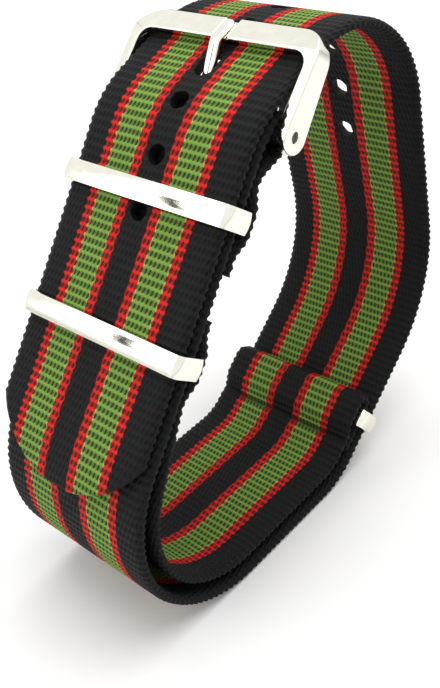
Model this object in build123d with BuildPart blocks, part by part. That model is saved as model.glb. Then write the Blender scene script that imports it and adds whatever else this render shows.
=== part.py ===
from math import acos, atan2, cos, degrees, hypot, radians, sin, sqrt
import os

from build123d import *

# Watch strap of woven webbing, closed into a loop that stands on its lower turn.
# Units are millimetres. X runs across the webbing, -Y is the buckle side, +Z is up.
# The origin is on the surface below the middle of the loop.

# Webbing
strap_width = 22.0
web_thickness = 1.2
lay_gap = 0.25
tip_round = 12.3

# Rounds of the loop, measured to the inner face of the long strap
heel_radius = 14.95
sole_radius = 8.65
back_radius = 16.15
crown_radius = 12.05
shoulder_radius = 10.35
heel_setback = 11.93
resting_run = 15.1
back_reach = 9.87
back_rise = 26.7
crown_reach = 10.76
crown_rise = 45.3
shoulder_reach = 3.81
shoulder_rise = 44.38

# Buckle end of the long strap
eye_arc = 24.0
eye_lead_radius = 8.0
eye_play = 0.1
eye_weld = 1.6
end_weld = 2.2
ramp_run = 1.7
bend_radius = 2.0

# Keepers
keeper_band = 2.4
keeper_wall = 0.8
keeper_side_wall = 0.6
keeper_side_play = 0.15
keeper_play = 0.12
keeper_slide_play = 0.3
keeper_outer_corner = 1.0
keeper_inner_corner = 0.35
keeper_edge_round = 0.2
keeper_1_drop = 5.4
keeper_spacing = 14.9
keeper_3_along = 5.4

# Short strap
heel_sag = 1.3
short_end_weld = 1.6
short_lead_weld = 2.0
sag_bend_radius = 10.0
fold_weld = 1.5

# Spring bar
bar_diameter = 1.8
bar_bore = 1.4
bar_mouth_bore = 1.1
bar_mouth_run = 0.6
bar_end_gap = 0.35
pin_diameter = 1.0
pin_head_diameter = 1.3
pin_head_run = 1.6
pin_reach = 0.9
spring_wire = 0.3
spring_diameter = 0.95
spring_turns = 10
spring_wire_sides = 8
spring_end_gap = 0.05

# Buckle frame
frame_side_play = 0.2
arm_width = 1.3
top_bar_width = 2.6
top_bar_height = 1.2
top_bar_along = 6.9
top_bar_seat = 0.1
top_bar_corner = 0.45
ear_radius = 1.75
ear_hole_diameter = 1.1
frame_outer_corner = 3.4
frame_inner_corner = 2.0
frame_edge_round = 0.25
notch_depth = 0.55
notch_side_play = 0.2

# Tongue
tongue_width = 1.4
tongue_thickness = 0.8
tongue_loop_play = 0.08
tongue_slot_side_play = 0.3
tongue_slot_play = 0.1
tongue_rest_gap = 0.08
tongue_setback = 0.5
tongue_bend_radius = 1.2

# Holes in the tail
hole_diameter = 2.2
hole_count = 10
hole_pitch = 5.8
first_hole_from_tip = 30.35
tongue_hole_number = 4
tongue_hole_stretch = 1.4
tongue_hole_along = 2.61

# One overrun serves all cuts
cut_over = 4.0

os.makedirs("parts", exist_ok=True)


def toward(angle):
    """Unit vector in the YZ plane at an angle in degrees from +Y."""
    return (cos(radians(angle)), sin(radians(angle)))


def shifted(point, *moves):
    """A point moved by pairs of distance and direction."""
    y, z = point
    for distance, direction in moves:
        y += distance * direction[0]
        z += distance * direction[1]
    return (y, z)


def run_angle(round_a, round_b):
    """Outward normal, in degrees, of the straight run from one round to the next."""
    (ya, za), ra = round_a
    (yb, zb), rb = round_b
    span = hypot(yb - ya, zb - za)
    return degrees(atan2(zb - za, yb - ya)) - degrees(acos((ra - rb) / span))


def run_beside(centre, radius, angle):
    """The straight run that touches a round where its normal has this angle."""
    normal = toward(angle)
    return (angle, centre[0] * normal[0] + centre[1] * normal[1] + radius)


def corner(run_a, run_b):
    """Where two runs cross, each run given by its normal's angle and its reach."""
    (ay, az), (by, bz) = toward(run_a[0]), toward(run_b[0])
    det = ay * bz - az * by
    return ((run_a[1] * bz - run_b[1] * az) / det, (ay * run_b[1] - by * run_a[1]) / det)


def beside(points, radii, offset):
    """The points and turn radii of a path that runs beside another one."""
    ways = []
    for (ya, za), (yb, zb) in zip(points, points[1:]):
        span = hypot(yb - ya, zb - za)
        ways.append(((yb - ya) / span, (zb - za) / span))
    moved = [shifted(points[0], (offset, (ways[0][1], -ways[0][0])))]
    turned = []
    for point, radius, (ay, az), (by, bz) in zip(points[1:], radii, ways, ways[1:]):
        share = 1 / (1 + ay * by + az * bz)
        moved.append(shifted(point, (offset * share, (az + bz, -ay - by))))
        left = ay * bz - az * by > 0
        turned.append(radius + offset if left else radius - offset)
    moved.append(shifted(points[-1], (offset, (ways[-1][1], -ways[-1][0]))))
    return moved, turned


def ribbon(points, radii, thickness):
    """Closed outline of a flat layer laid along a path with rounded turns."""
    outer_points, outer_radii = beside(points, radii, thickness / 2)
    inner_points, inner_radii = beside(points, radii, -thickness / 2)
    for side_points, side_radii in ((outer_points, outer_radii), (inner_points, inner_radii)):
        if side_radii:
            FilletPolyline(*side_points, radius=side_radii)
        else:
            Line(*side_points)
    Line(outer_points[0], inner_points[0])
    Line(outer_points[-1], inner_points[-1])


def half_ring(centre, middle_radius, thickness, start_angle):
    """Closed outline of a layer that turns half round a centre."""
    for radius in (middle_radius - thickness / 2, middle_radius + thickness / 2):
        CenterArc(centre, radius, start_angle, 180)
    for angle in (start_angle, start_angle + 180):
        near = shifted(centre, (middle_radius - thickness / 2, toward(angle)))
        far = shifted(centre, (middle_radius + thickness / 2, toward(angle)))
        Line(near, far)


def in_space(point):
    """A point of the YZ plane in space."""
    return Vector(0, point[0], point[1])


# Centres of the five rounds
half_web = web_thickness / 2
half_strap = strap_width / 2
heel_centre = (-heel_setback, heel_radius + web_thickness)
sole_centre = (resting_run - heel_setback, sole_radius + web_thickness)
back_centre = (back_reach, back_rise)
crown_centre = (crown_reach, crown_rise)
shoulder_centre = (shoulder_reach, shoulder_rise)

# The second turn of the long strap lies outside the first by one thickness and a gap
lift = web_thickness + lay_gap

front_angle = run_angle((shoulder_centre, shoulder_radius), (heel_centre, heel_radius)) % 360
rest_angle = run_angle((heel_centre, heel_radius), (sole_centre, sole_radius))
lower_angle = run_angle((sole_centre, sole_radius), (back_centre, back_radius + lift))
upper_angle = run_angle((back_centre, back_radius), (crown_centre, crown_radius))
brow_angle = run_angle((crown_centre, crown_radius), (shoulder_centre, shoulder_radius)) % 360

front_normal = toward(front_angle)
front_up = toward(front_angle - 90)
lower_normal = toward(lower_angle)
lower_up = toward(lower_angle + 90)


def on_front(along, level):
    """Point beside the front run: along is up from the shoulder's start, level is outward."""
    return shifted(shoulder_centre, (shoulder_radius + level, front_normal), (along, front_up))


def on_lower(along, level):
    """Point beside the lower back run: along is up from the sole round."""
    return shifted(sole_centre, (sole_radius + level, lower_normal), (along, lower_up))


def on_shoulder(arc, level):
    """Point over the shoulder, arc degrees up from where it begins."""
    return shifted(shoulder_centre, (shoulder_radius + level, toward(front_angle - arc)))


def on_brow(along, level):
    """Point beside the brow, the run from the shoulder back to the crown."""
    foot = shifted(shoulder_centre, (shoulder_radius + level, toward(brow_angle)))
    return shifted(foot, (along, toward(brow_angle - 90)))


# A tunnel lets a keeper's inner leg pass between two layers
tunnel_height = keeper_wall + 2 * keeper_play
tunnel_half_run = keeper_band / 2 + keeper_slide_play
tunnel_foot = tunnel_half_run + ramp_run


def tunnel_points(middle_along, level, weld_above, weld_below):
    """Path of a layer that lies under the front run and lifts off over a keeper's leg."""
    return [
        on_front(middle_along + tunnel_foot + weld_above, level),
        on_front(middle_along + tunnel_foot, level),
        on_front(middle_along + tunnel_half_run, level - tunnel_height),
        on_front(middle_along - tunnel_half_run, level - tunnel_height),
        on_front(middle_along - tunnel_foot, level),
        on_front(middle_along - tunnel_foot - weld_below, level),
    ]


# Long strap: eye round the spring bar, first run, lower turn, back, crown and tail
eye_angle = front_angle - eye_arc
eye_inner_radius = bar_diameter / 2 + eye_play
eye_path_radius = eye_inner_radius + half_web
hinge_point = on_shoulder(eye_arc, -eye_inner_radius)
eye_run = run_beside(shoulder_centre, shoulder_radius + half_web, eye_angle)
first_run = run_beside(heel_centre, heel_radius + half_web, front_angle)
rest_run = run_beside(heel_centre, heel_radius + half_web, rest_angle)
lower_run = run_beside(sole_centre, sole_radius + half_web, lower_angle)
upper_run = run_beside(back_centre, back_radius + lift + half_web, upper_angle)
brow_run = run_beside(crown_centre, crown_radius + lift + half_web, brow_angle)
tail_run = (front_angle, first_run[1] + lift)
tail_heel_radius = heel_radius + lift + half_web
tail_shoulder_radius = shoulder_radius + lift + half_web

# The buckle holds the tail at the tongue's hole, so the tip lies as far down as the
# holes reach. The pull of the tail stretches the tongue's hole toward the tip
hole_places = [first_hole_from_tip + number * hole_pitch for number in range(hole_count)]
tongue_hole_place = hole_places[tongue_hole_number - 1]
stretched_place = tongue_hole_place - tongue_hole_stretch / 2
plain_hole_places = [place for place in hole_places if place != tongue_hole_place]
shoulder_turn = radians(front_angle - brow_angle) * tail_shoulder_radius
round_span = hypot(shoulder_centre[0] - heel_centre[0], shoulder_centre[1] - heel_centre[1])
front_run = sqrt(round_span**2 - (heel_radius - shoulder_radius) ** 2)
tip_wrap = stretched_place - tongue_hole_along - shoulder_turn - front_run
tip_angle = front_angle + degrees(tip_wrap / tail_heel_radius)
tip_turn = run_beside(heel_centre, tail_heel_radius, tip_angle)
tip_end = shifted(heel_centre, (tail_heel_radius, toward(tip_angle)))

long_points = [
    on_shoulder(eye_arc, half_web),
    corner(eye_run, first_run),
    corner(first_run, rest_run),
    corner(rest_run, lower_run),
    corner(lower_run, upper_run),
    corner(upper_run, brow_run),
    corner(brow_run, tail_run),
    corner(tail_run, tip_turn),
    tip_end,
]
long_radii = [
    eye_lead_radius,
    heel_radius + half_web,
    sole_radius + half_web,
    back_radius + lift + half_web,
    crown_radius + lift + half_web,
    tail_shoulder_radius,
    tail_heel_radius,
]
fold_points = tunnel_points(-keeper_1_drop, -half_web, 0, end_weld)
fold_points[0] = on_shoulder(eye_arc, half_web - 2 * eye_path_radius)
fold_points.insert(1, on_front(eye_weld - keeper_1_drop + tunnel_foot, -half_web))
fold_points.reverse()
fold_radii = [bend_radius for point in fold_points[1:-1]]

with BuildLine(Plane.YZ) as long_path:
    FilletPolyline(*long_points, radius=long_radii)
tail_wire = long_path.wire()


def tail_plane(from_tip):
    """Plane on the middle of the tail's thickness, its normal outward."""
    place = tail_wire.length - from_tip
    spot = tail_wire.position_at(place, position_mode=PositionMode.LENGTH)
    way = tail_wire.tangent_at(place, position_mode=PositionMode.LENGTH)
    return Plane(origin=spot, x_dir=(1, 0, 0), z_dir=way.cross(Vector(1, 0, 0)))


hole_half_cut = half_web + lay_gap / 2
tongue_slot_radius = eye_path_radius + half_web + tongue_slot_play
tongue_slot_half = tongue_width / 2 + tongue_slot_side_play
tip_bulge = tip_round - sqrt(tip_round**2 - half_strap**2)

# The rounded tip is cut through the tail alone, outside the first turn
below_tail = web_thickness + lay_gap / 2
with BuildPart() as tip_cut:
    with BuildSketch(tail_plane(0)):
        with Locations((0, -cut_over)):
            Rectangle(strap_width + cut_over, tip_bulge + cut_over, align=(Align.CENTER, Align.MIN))
        with Locations((0, tip_round)):
            Circle(tip_round, mode=Mode.SUBTRACT)
    extrude(amount=tip_bulge, both=True)
    with BuildSketch(Plane.YZ):
        with Locations(heel_centre):
            Circle(heel_radius + below_tail)
        with Locations(shoulder_centre):
            Circle(shoulder_radius + below_tail)
        make_hull()
    extrude(amount=strap_width, both=True, mode=Mode.SUBTRACT)

with BuildPart() as long_strap:
    with BuildSketch(Plane.YZ):
        with BuildLine():
            ribbon(long_points, long_radii, web_thickness)
        make_face()
    extrude(amount=half_strap, both=True)
    with BuildSketch(Plane.YZ):
        with BuildLine():
            half_ring(hinge_point, eye_path_radius, web_thickness, eye_angle - 180)
        make_face()
    extrude(amount=half_strap, both=True)
    with BuildSketch(Plane.YZ):
        with BuildLine():
            ribbon(fold_points, fold_radii, web_thickness)
        make_face()
    extrude(amount=half_strap, both=True)
    for place in plain_hole_places:
        with BuildSketch(tail_plane(place)):
            Circle(hole_diameter / 2)
        extrude(amount=hole_half_cut, both=True, mode=Mode.SUBTRACT)
    with BuildSketch(tail_plane(stretched_place)):
        SlotCenterToCenter(tongue_hole_stretch, hole_diameter, rotation=90)
    extrude(amount=hole_half_cut, both=True, mode=Mode.SUBTRACT)
    with BuildSketch(Plane.YZ):
        with Locations(hinge_point):
            Circle(tongue_slot_radius)
    extrude(amount=tongue_slot_half, both=True, mode=Mode.SUBTRACT)
    add(tip_cut.part, mode=Mode.SUBTRACT)
long_strap.part.label = "long_strap"

# Short strap: starts under keeper 2, runs round the lower turn inside the long strap
# and folds back over the inner leg of keeper 3
keeper_2_drop = keeper_1_drop + keeper_spacing
fold_outer_level = -lay_gap - half_web
fold_inner_level = fold_outer_level - tunnel_height - web_thickness
fold_weld_level = fold_outer_level - web_thickness
fold_ring_radius = (fold_outer_level - fold_inner_level) / 2
fold_top = keeper_3_along + tunnel_half_run
fold_centre = on_lower(fold_top, (fold_outer_level + fold_inner_level) / 2)

short_points = tunnel_points(-keeper_2_drop, -half_web, short_end_weld, short_lead_weld)
short_heel_radius = heel_radius - half_web - heel_sag
short_sole_radius = sole_radius + fold_weld_level
lead_angle = run_angle((short_points[-1], 0), (heel_centre, short_heel_radius)) % 360
sag_angle = run_angle((heel_centre, short_heel_radius), (sole_centre, short_sole_radius))
lead_run = run_beside(heel_centre, short_heel_radius, lead_angle)
sag_run = run_beside(heel_centre, short_heel_radius, sag_angle)
short_lower_run = run_beside(sole_centre, short_sole_radius, lower_angle)
short_radii = [bend_radius for point in short_points[1:-1]]
short_radii += [sag_bend_radius, short_heel_radius, short_sole_radius, bend_radius, bend_radius]
short_points += [
    corner(lead_run, sag_run),
    corner(sag_run, short_lower_run),
    on_lower(keeper_3_along - tunnel_foot, fold_weld_level),
    on_lower(keeper_3_along - tunnel_half_run, fold_inner_level),
    on_lower(fold_top, fold_inner_level),
]
return_end = keeper_3_along - tunnel_foot - fold_weld
return_points = [on_lower(fold_top, fold_outer_level), on_lower(return_end, fold_outer_level)]

with BuildPart() as short_strap:
    with BuildSketch(Plane.YZ):
        with BuildLine():
            ribbon(short_points, short_radii, web_thickness)
        make_face()
    extrude(amount=half_strap, both=True)
    with BuildSketch(Plane.YZ):
        with BuildLine():
            half_ring(fold_centre, fold_ring_radius, web_thickness, lower_angle)
        make_face()
    extrude(amount=half_strap, both=True)
    with BuildSketch(Plane.YZ):
        with BuildLine():
            ribbon(return_points, [], web_thickness)
        make_face()
    extrude(amount=half_strap, both=True)
short_strap.part.label = "short_strap"

# Keepers: one bent band each, its opening round two layers and its inner leg in a tunnel
keeper_opening = lift + web_thickness + 2 * keeper_play
keeper_inner_width = strap_width + 2 * keeper_side_play
keeper_outer_width = keeper_inner_width + 2 * keeper_side_wall
keeper_outer_height = keeper_opening + 2 * keeper_wall


def band_plane(point, normal):
    """Plane across a run, its X across the webbing and its Y along the outward normal."""
    outward = in_space(normal)
    return Plane(origin=in_space(point), x_dir=(1, 0, 0), z_dir=Vector(1, 0, 0).cross(outward))


with BuildPart() as keeper_band_shape:
    with BuildSketch():
        RectangleRounded(keeper_outer_width, keeper_outer_height, keeper_outer_corner)
        RectangleRounded(keeper_inner_width, keeper_opening, keeper_inner_corner, mode=Mode.SUBTRACT)
    extrude(amount=keeper_band / 2, both=True)
    fillet(keeper_band_shape.faces().filter_by(Axis.Z).edges(), keeper_edge_round)

front_middle_level = (lift + web_thickness) / 2
with BuildPart() as keeper_1:
    with Locations(band_plane(on_front(-keeper_1_drop, front_middle_level), front_normal)):
        add(keeper_band_shape.part)
keeper_1.part.label = "keeper_1"

with BuildPart() as keeper_2:
    with Locations(band_plane(on_front(-keeper_2_drop, front_middle_level), front_normal)):
        add(keeper_band_shape.part)
keeper_2.part.label = "keeper_2"

lower_middle_level = (fold_outer_level - half_web + web_thickness) / 2
with BuildPart() as keeper_3:
    with Locations(band_plane(on_lower(keeper_3_along, lower_middle_level), lower_normal)):
        add(keeper_band_shape.part)
keeper_3.part.label = "keeper_3"

# Spring bar in the eye
window_half = half_strap + frame_side_play
tube_half = window_half - bar_end_gap
head_outer_end = tube_half - bar_mouth_run
head_inner_end = head_outer_end - pin_head_run
pin_end = window_half + pin_reach

with BuildPart() as spring_bar_tube:
    with BuildSketch(Plane.YZ):
        with Locations(hinge_point):
            Circle(bar_diameter / 2)
            Circle(bar_mouth_bore / 2, mode=Mode.SUBTRACT)
    extrude(amount=tube_half, both=True)
    with BuildSketch(Plane.YZ):
        with Locations(hinge_point):
            Circle(bar_bore / 2)
    extrude(amount=head_outer_end, both=True, mode=Mode.SUBTRACT)
spring_bar_tube.part.label = "spring_bar_tube"

with BuildPart() as spring_bar_tip_right:
    with BuildSketch(Plane.YZ.offset(head_inner_end)):
        with Locations(hinge_point):
            Circle(pin_head_diameter / 2)
    extrude(amount=pin_head_run)
    with BuildSketch(Plane.YZ.offset(head_outer_end)):
        with Locations(hinge_point):
            Circle(pin_diameter / 2)
    extrude(amount=pin_end - head_outer_end)
spring_bar_tip_right.part.label = "spring_bar_tip_right"

with BuildPart() as spring_bar_tip_left:
    mirror(spring_bar_tip_right.part, about=Plane.YZ)
spring_bar_tip_left.part.label = "spring_bar_tip_left"

spring_half = head_inner_end - spring_end_gap - spring_wire / 2
spring_pitch = 2 * spring_half / spring_turns
spring_start = (-spring_half, hinge_point[0], hinge_point[1])
# The round wire is drawn with eight sides
with BuildPart() as spring_bar_spring:
    with BuildLine() as coil:
        Helix(spring_pitch, 2 * spring_half, spring_diameter / 2, center=spring_start, direction=(1, 0, 0))
    with BuildSketch(coil.line ^ 0):
        RegularPolygon(spring_wire / 2, spring_wire_sides)
    sweep(is_frenet=True)
spring_bar_spring.part.label = "spring_bar_spring"

# Buckle frame: ears on the spring bar, arms beside the eye, top bar over the tail
tail_outer_level = lift + web_thickness
top_bar_level = tail_outer_level + top_bar_seat + top_bar_height / 2
top_bar_centre = on_brow(top_bar_along, top_bar_level)
top_bar_out = toward(brow_angle)
top_bar_way = toward(brow_angle - 90)
frame_half = window_half + arm_width
arm_span = hypot(top_bar_centre[0] - hinge_point[0], top_bar_centre[1] - hinge_point[1])
arm_way = ((top_bar_centre[0] - hinge_point[0]) / arm_span, (top_bar_centre[1] - hinge_point[1]) / arm_span)
arm_plane = Plane(origin=in_space(hinge_point), x_dir=(1, 0, 0), z_dir=(0, -arm_way[1], arm_way[0]))
bar_round_reach = top_bar_width / 2 - top_bar_corner
bar_round_rise = top_bar_height / 2 - top_bar_corner
bar_rounds = [
    shifted(top_bar_centre, (side * bar_round_reach, top_bar_way), (rise * bar_round_rise, top_bar_out))
    for side in (-1, 1)
    for rise in (-1, 1)
]
notch_width = tongue_width + 2 * notch_side_play
notch_floor = shifted(top_bar_centre, (top_bar_height / 2 - notch_depth, top_bar_out))
notch_plane = Plane(origin=in_space(notch_floor), x_dir=(1, 0, 0), z_dir=in_space(top_bar_out))
plan_end = arm_span + top_bar_width / 2
window_end = arm_span - top_bar_width / 2

with BuildPart() as buckle_frame:
    with BuildSketch(Plane.YZ):
        with Locations(hinge_point):
            Circle(ear_radius)
        with Locations(*bar_rounds):
            Circle(top_bar_corner)
        make_hull()
    extrude(amount=frame_half, both=True)
    with BuildSketch(arm_plane) as plan:
        with Locations((0, plan_end)):
            Rectangle(2 * frame_half, plan_end + cut_over, align=(Align.CENTER, Align.MAX))
        fillet(plan.vertices().group_by(Axis.Y)[-1], frame_outer_corner)
    extrude(amount=cut_over + ear_radius, both=True, mode=Mode.INTERSECT)
    with BuildSketch(arm_plane) as window:
        with Locations((0, window_end)):
            Rectangle(2 * window_half, window_end + cut_over, align=(Align.CENTER, Align.MAX))
        fillet(window.vertices().group_by(Axis.Y)[-1], frame_inner_corner)
    extrude(amount=cut_over + ear_radius, both=True, mode=Mode.SUBTRACT)
    with BuildSketch(Plane.YZ):
        with Locations(crown_centre):
            Circle(crown_radius + tail_outer_level + top_bar_seat)
        with Locations(shoulder_centre):
            Circle(shoulder_radius + tail_outer_level + top_bar_seat)
        make_hull()
    extrude(amount=half_strap + top_bar_seat, both=True, mode=Mode.SUBTRACT)
    with BuildSketch(Plane.YZ):
        with Locations(hinge_point):
            Circle(ear_hole_diameter / 2)
    extrude(amount=frame_half + cut_over, both=True, mode=Mode.SUBTRACT)
    with BuildSketch(notch_plane):
        Rectangle(notch_width, top_bar_width + cut_over)
    extrude(amount=cut_over, mode=Mode.SUBTRACT)
    flanks = buckle_frame.faces().sort_by(Axis.X)
    fillet(flanks[0].edges() + flanks[-1].edges(), frame_edge_round)
buckle_frame.part.label = "buckle_frame"

# Tongue: a loop on the spring bar and a bent stem through the tail to the notch
loop_middle_radius = bar_diameter / 2 + tongue_loop_play + tongue_thickness / 2
hole_spot = tail_plane(stretched_place).origin
stem_angle = degrees(atan2(hole_spot.Z - hinge_point[1], hole_spot.Y - hinge_point[0]))
stem_run = run_beside(hinge_point, 0, stem_angle + 90)
rest_spot = shifted(notch_floor, (tongue_rest_gap + tongue_thickness / 2, top_bar_out))
stem_points = [
    shifted(hinge_point, (loop_middle_radius, toward(stem_angle))),
    corner(stem_run, run_beside(rest_spot, 0, brow_angle)),
    shifted(rest_spot, (top_bar_width / 2 - tongue_setback, top_bar_way)),
]

with BuildPart() as buckle_tongue:
    with BuildSketch(Plane.YZ):
        with BuildLine():
            ribbon(stem_points, [tongue_bend_radius], tongue_thickness)
        make_face()
    with BuildSketch(Plane.YZ):
        with Locations(hinge_point):
            Circle(loop_middle_radius + tongue_thickness / 2)
            Circle(loop_middle_radius - tongue_thickness / 2, mode=Mode.SUBTRACT)
    extrude(amount=tongue_width / 2, both=True)
buckle_tongue.part.label = "buckle_tongue"

pieces = [
    long_strap,
    short_strap,
    keeper_1,
    keeper_2,
    keeper_3,
    spring_bar_tube,
    spring_bar_spring,
    spring_bar_tip_left,
    spring_bar_tip_right,
    buckle_frame,
    buckle_tongue,
]
for piece in pieces:
    export_step(piece.part, f"parts/{piece.part.label}.step")
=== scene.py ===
# %% [markdown]
# # A striped webbing watch strap, dressed for its picture
# The imported CAD model is the fixed frame: it holds the sizes, the places and the
# bodies that move. Everything that shows is modelled here round that frame, in
# metres, in the same place. This first cell loads it and writes each node's placement into its mesh.

# %% Load the frame
import math

import bmesh
import bpy
import numpy as np
from mathutils import Matrix, Vector


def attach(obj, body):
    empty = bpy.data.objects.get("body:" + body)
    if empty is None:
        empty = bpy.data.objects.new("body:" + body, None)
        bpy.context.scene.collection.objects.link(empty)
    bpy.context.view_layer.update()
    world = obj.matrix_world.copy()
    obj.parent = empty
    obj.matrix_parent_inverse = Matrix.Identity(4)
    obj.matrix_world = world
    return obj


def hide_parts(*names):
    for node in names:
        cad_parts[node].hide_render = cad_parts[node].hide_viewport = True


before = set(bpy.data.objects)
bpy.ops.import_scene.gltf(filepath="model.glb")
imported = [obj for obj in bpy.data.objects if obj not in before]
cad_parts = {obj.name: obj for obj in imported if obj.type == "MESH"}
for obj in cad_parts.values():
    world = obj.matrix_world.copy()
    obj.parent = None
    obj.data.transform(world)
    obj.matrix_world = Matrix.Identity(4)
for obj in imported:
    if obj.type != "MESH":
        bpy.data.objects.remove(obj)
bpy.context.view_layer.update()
print("CAD nodes:", sorted(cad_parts))

# %% [markdown]
# ## The shape of the loop
# A closed strap is one flat ribbon laid round a few rounds, as a belt lies round
# pulleys. The same five rounds as the CAD's are written here in millimetres, each
# with its centre in the side view and its radius. Webbing under light tension lies
# in straight runs and true arcs, so these rounds say all of its shape. A free curve
# drawn by eye would kink where the layers have to lie flat on each other.

# %% Sizes of the webbing and of the loop
MM = 0.001
WIDTH = 22.0
THICK = 1.2
HALF = THICK / 2
GAP = 0.25
LIFT = THICK + GAP
HEEL = ((-11.93, 16.15), 14.95)
SOLE = ((3.17, 9.85), 8.65)
BACK = ((9.87, 26.7), 16.15)
CROWN = ((10.76, 45.3), 12.05)
SHOULDER = ((3.81, 44.38), 10.35)
REST_ANGLE = -90
EYE_ARC = 24.0
EYE_RADIUS = 1.0
EYE_LEAD = 8.0
TIP_WRAP = 5.72
BEND = 2.0
print("a layer over another lies", LIFT, "mm further out")

# %% Sizes of the tunnels that hold the keepers
KEEPER_DROPS = (5.4, 20.3)
KEEPER_3_ALONG = 5.4
KEEPER_WALL = 0.8
KEEPER_PLAY = 0.12
TUNNEL_HEIGHT = KEEPER_WALL + 2 * KEEPER_PLAY
TUNNEL_HALF = 1.5
TUNNEL_FOOT = 3.2
print("a tunnel is", round(TUNNEL_HEIGHT, 2), "mm high")

# %% [markdown]
# ## Runs between the rounds
# Between two rounds the webbing is pulled straight, along the line that touches
# both. Such a run is kept as the angle of its outward normal and its distance from
# the origin, because two runs then cross where two plain equations meet, and a
# layer further out is the same run with a larger distance.


# %% Helpers for directions and runs
def toward(angle):
    """Unit vector in the side view at an angle in degrees from +Y."""
    return np.array([math.cos(math.radians(angle)), math.sin(math.radians(angle))])


def grown(round_, more):
    """A round whose radius is larger by so much."""
    return round_[0], round_[1] + more


def run_angle(first, second):
    """Angle of the outward normal of the run from one round to the next."""
    way = np.subtract(second[0], first[0])
    slope = math.degrees(math.atan2(way[1], way[0]))
    return slope - math.degrees(math.acos((first[1] - second[1]) / np.hypot(*way)))


def run_beside(centre, radius, angle):
    """The run that touches a round, as its normal's angle and its reach."""
    return angle, float(np.dot(centre, toward(angle)) + radius)


def corner(first, second):
    """Where two runs cross."""
    return np.linalg.solve([toward(first[0]), toward(second[0])], [first[1], second[1]])


front_angle = run_angle(SHOULDER, HEEL) % 360
lower_angle = run_angle(SOLE, grown(BACK, LIFT))
upper_angle = run_angle(BACK, CROWN)
brow_angle = run_angle(CROWN, SHOULDER) % 360
print("angles of the runs", [round(a, 2) for a in (front_angle, lower_angle, upper_angle, brow_angle)])


# %% Spots beside the runs
def on_front(along, level):
    """Point beside the front run: up from the shoulder's start, and outward."""
    return SHOULDER[0] + toward(front_angle) * (SHOULDER[1] + level) + toward(front_angle - 90) * along


def on_lower(along, level):
    """Point beside the lower back run: up from the sole, and outward."""
    return SOLE[0] + toward(lower_angle) * (SOLE[1] + level) + toward(lower_angle + 90) * along


def on_shoulder(arc, level):
    """Point over the shoulder, so many degrees up from where it begins."""
    return SHOULDER[0] + toward(front_angle - arc) * (SHOULDER[1] + level)


def on_brow(along, level):
    """Point beside the brow, the run from the shoulder back to the crown."""
    return SHOULDER[0] + toward(brow_angle) * (SHOULDER[1] + level) + toward(brow_angle - 90) * along


hinge = on_shoulder(EYE_ARC, -EYE_RADIUS)
print("middle of the spring bar", hinge.round(2))

# %% [markdown]
# ## A measured line
# The webbing is woven flat and laid in place later, so each route has to answer one
# question: what point, and which way out, lies so many millimetres along it? Corner
# points with turn radii are turned into a fine line of points, and a small class
# looks up any length on it.

# %% A line through corners with rounded turns
ROUTE_STEP = 0.05


def arc_points(centre, radius, start, sweep):
    """Points along an arc, from a start angle through a sweep, in degrees."""
    count = max(3, int(abs(math.radians(sweep)) * radius / ROUTE_STEP))
    return [centre + toward(start + sweep * share) * radius for share in np.linspace(0, 1, count)]


def rounded_line(points, radii):
    """Points along straight runs whose corners are turned with these radii."""
    points = [np.array(p, float) for p in points]
    line = [points[0]]
    for before, here, after, radius in zip(points, points[1:], points[2:], radii):
        into = (here - before) / np.hypot(*(here - before))
        out = (after - here) / np.hypot(*(after - here))
        turn = math.degrees(math.atan2(into[0] * out[1] - into[1] * out[0], np.dot(into, out)))
        side = 1 if turn > 0 else -1
        start = here - into * radius * math.tan(math.radians(abs(turn) / 2))
        centre = start + np.array([-into[1], into[0]]) * radius * side
        angle = math.degrees(math.atan2(*(start - centre)[::-1]))
        line += arc_points(centre, radius, angle, turn)
    return line + [points[-1]]


# %% Look up any length along a line
SMOOTH_OVER = 5


class Route:
    """A line in the side view, measured along its length, with its outward normal."""

    def __init__(self, points):
        points = np.array(points)
        keep = np.ones(len(points), bool)
        keep[1:] = np.hypot(*np.diff(points, axis=0).T) > 1e-6
        points = points[keep]
        run = np.concatenate([[0], np.cumsum(np.hypot(*np.diff(points, axis=0).T))])
        self.length = float(run[-1])
        self.fine = np.arange(0, self.length, ROUTE_STEP)
        self.points = np.column_stack([np.interp(self.fine, run, points[:, i]) for i in (0, 1)])
        way = np.gradient(self.points, axis=0)
        way /= np.hypot(*way.T)[:, None]
        self.normals = np.column_stack([way[:, 1], -way[:, 0]])
        for i in (0, 1):
            padded = np.pad(self.normals[:, i], SMOOTH_OVER // 2, mode="edge")
            self.normals[:, i] = np.convolve(padded, np.ones(SMOOTH_OVER) / SMOOTH_OVER, "valid")

    def at(self, along):
        """Points and unit normals at these lengths along the route."""
        spots = [np.interp(along, self.fine, self.points[:, i]) for i in (0, 1)]
        sides = np.array([np.interp(along, self.fine, self.normals[:, i]) for i in (0, 1)])
        return np.array(spots), sides / np.hypot(*sides)

    def spot(self, along):
        """The point and the unit normal at one length along the route."""
        spots, sides = self.at(np.array([along]))
        return spots[:, 0], sides[:, 0]

    def nearest(self, spot, low, high):
        """How far along the route, between two lengths, its nearest point to a spot is."""
        near = (self.fine >= low) & (self.fine <= high)
        gaps = np.hypot(*(self.points[near] - np.array(spot)).T)
        return float(self.fine[near][np.argmin(gaps)])


print("points every", ROUTE_STEP, "mm")

# %% [markdown]
# ## The two routes
# The long strap starts at the folded end behind the buckle, climbs over the inner
# leg of the first keeper, turns round the spring bar, and then goes once round the
# loop and over itself to the tail's tip. The short strap starts under the second
# keeper and ends in the fold that holds the third. Both climb over a keeper's leg
# in the same way, so that shape is written once.


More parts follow.
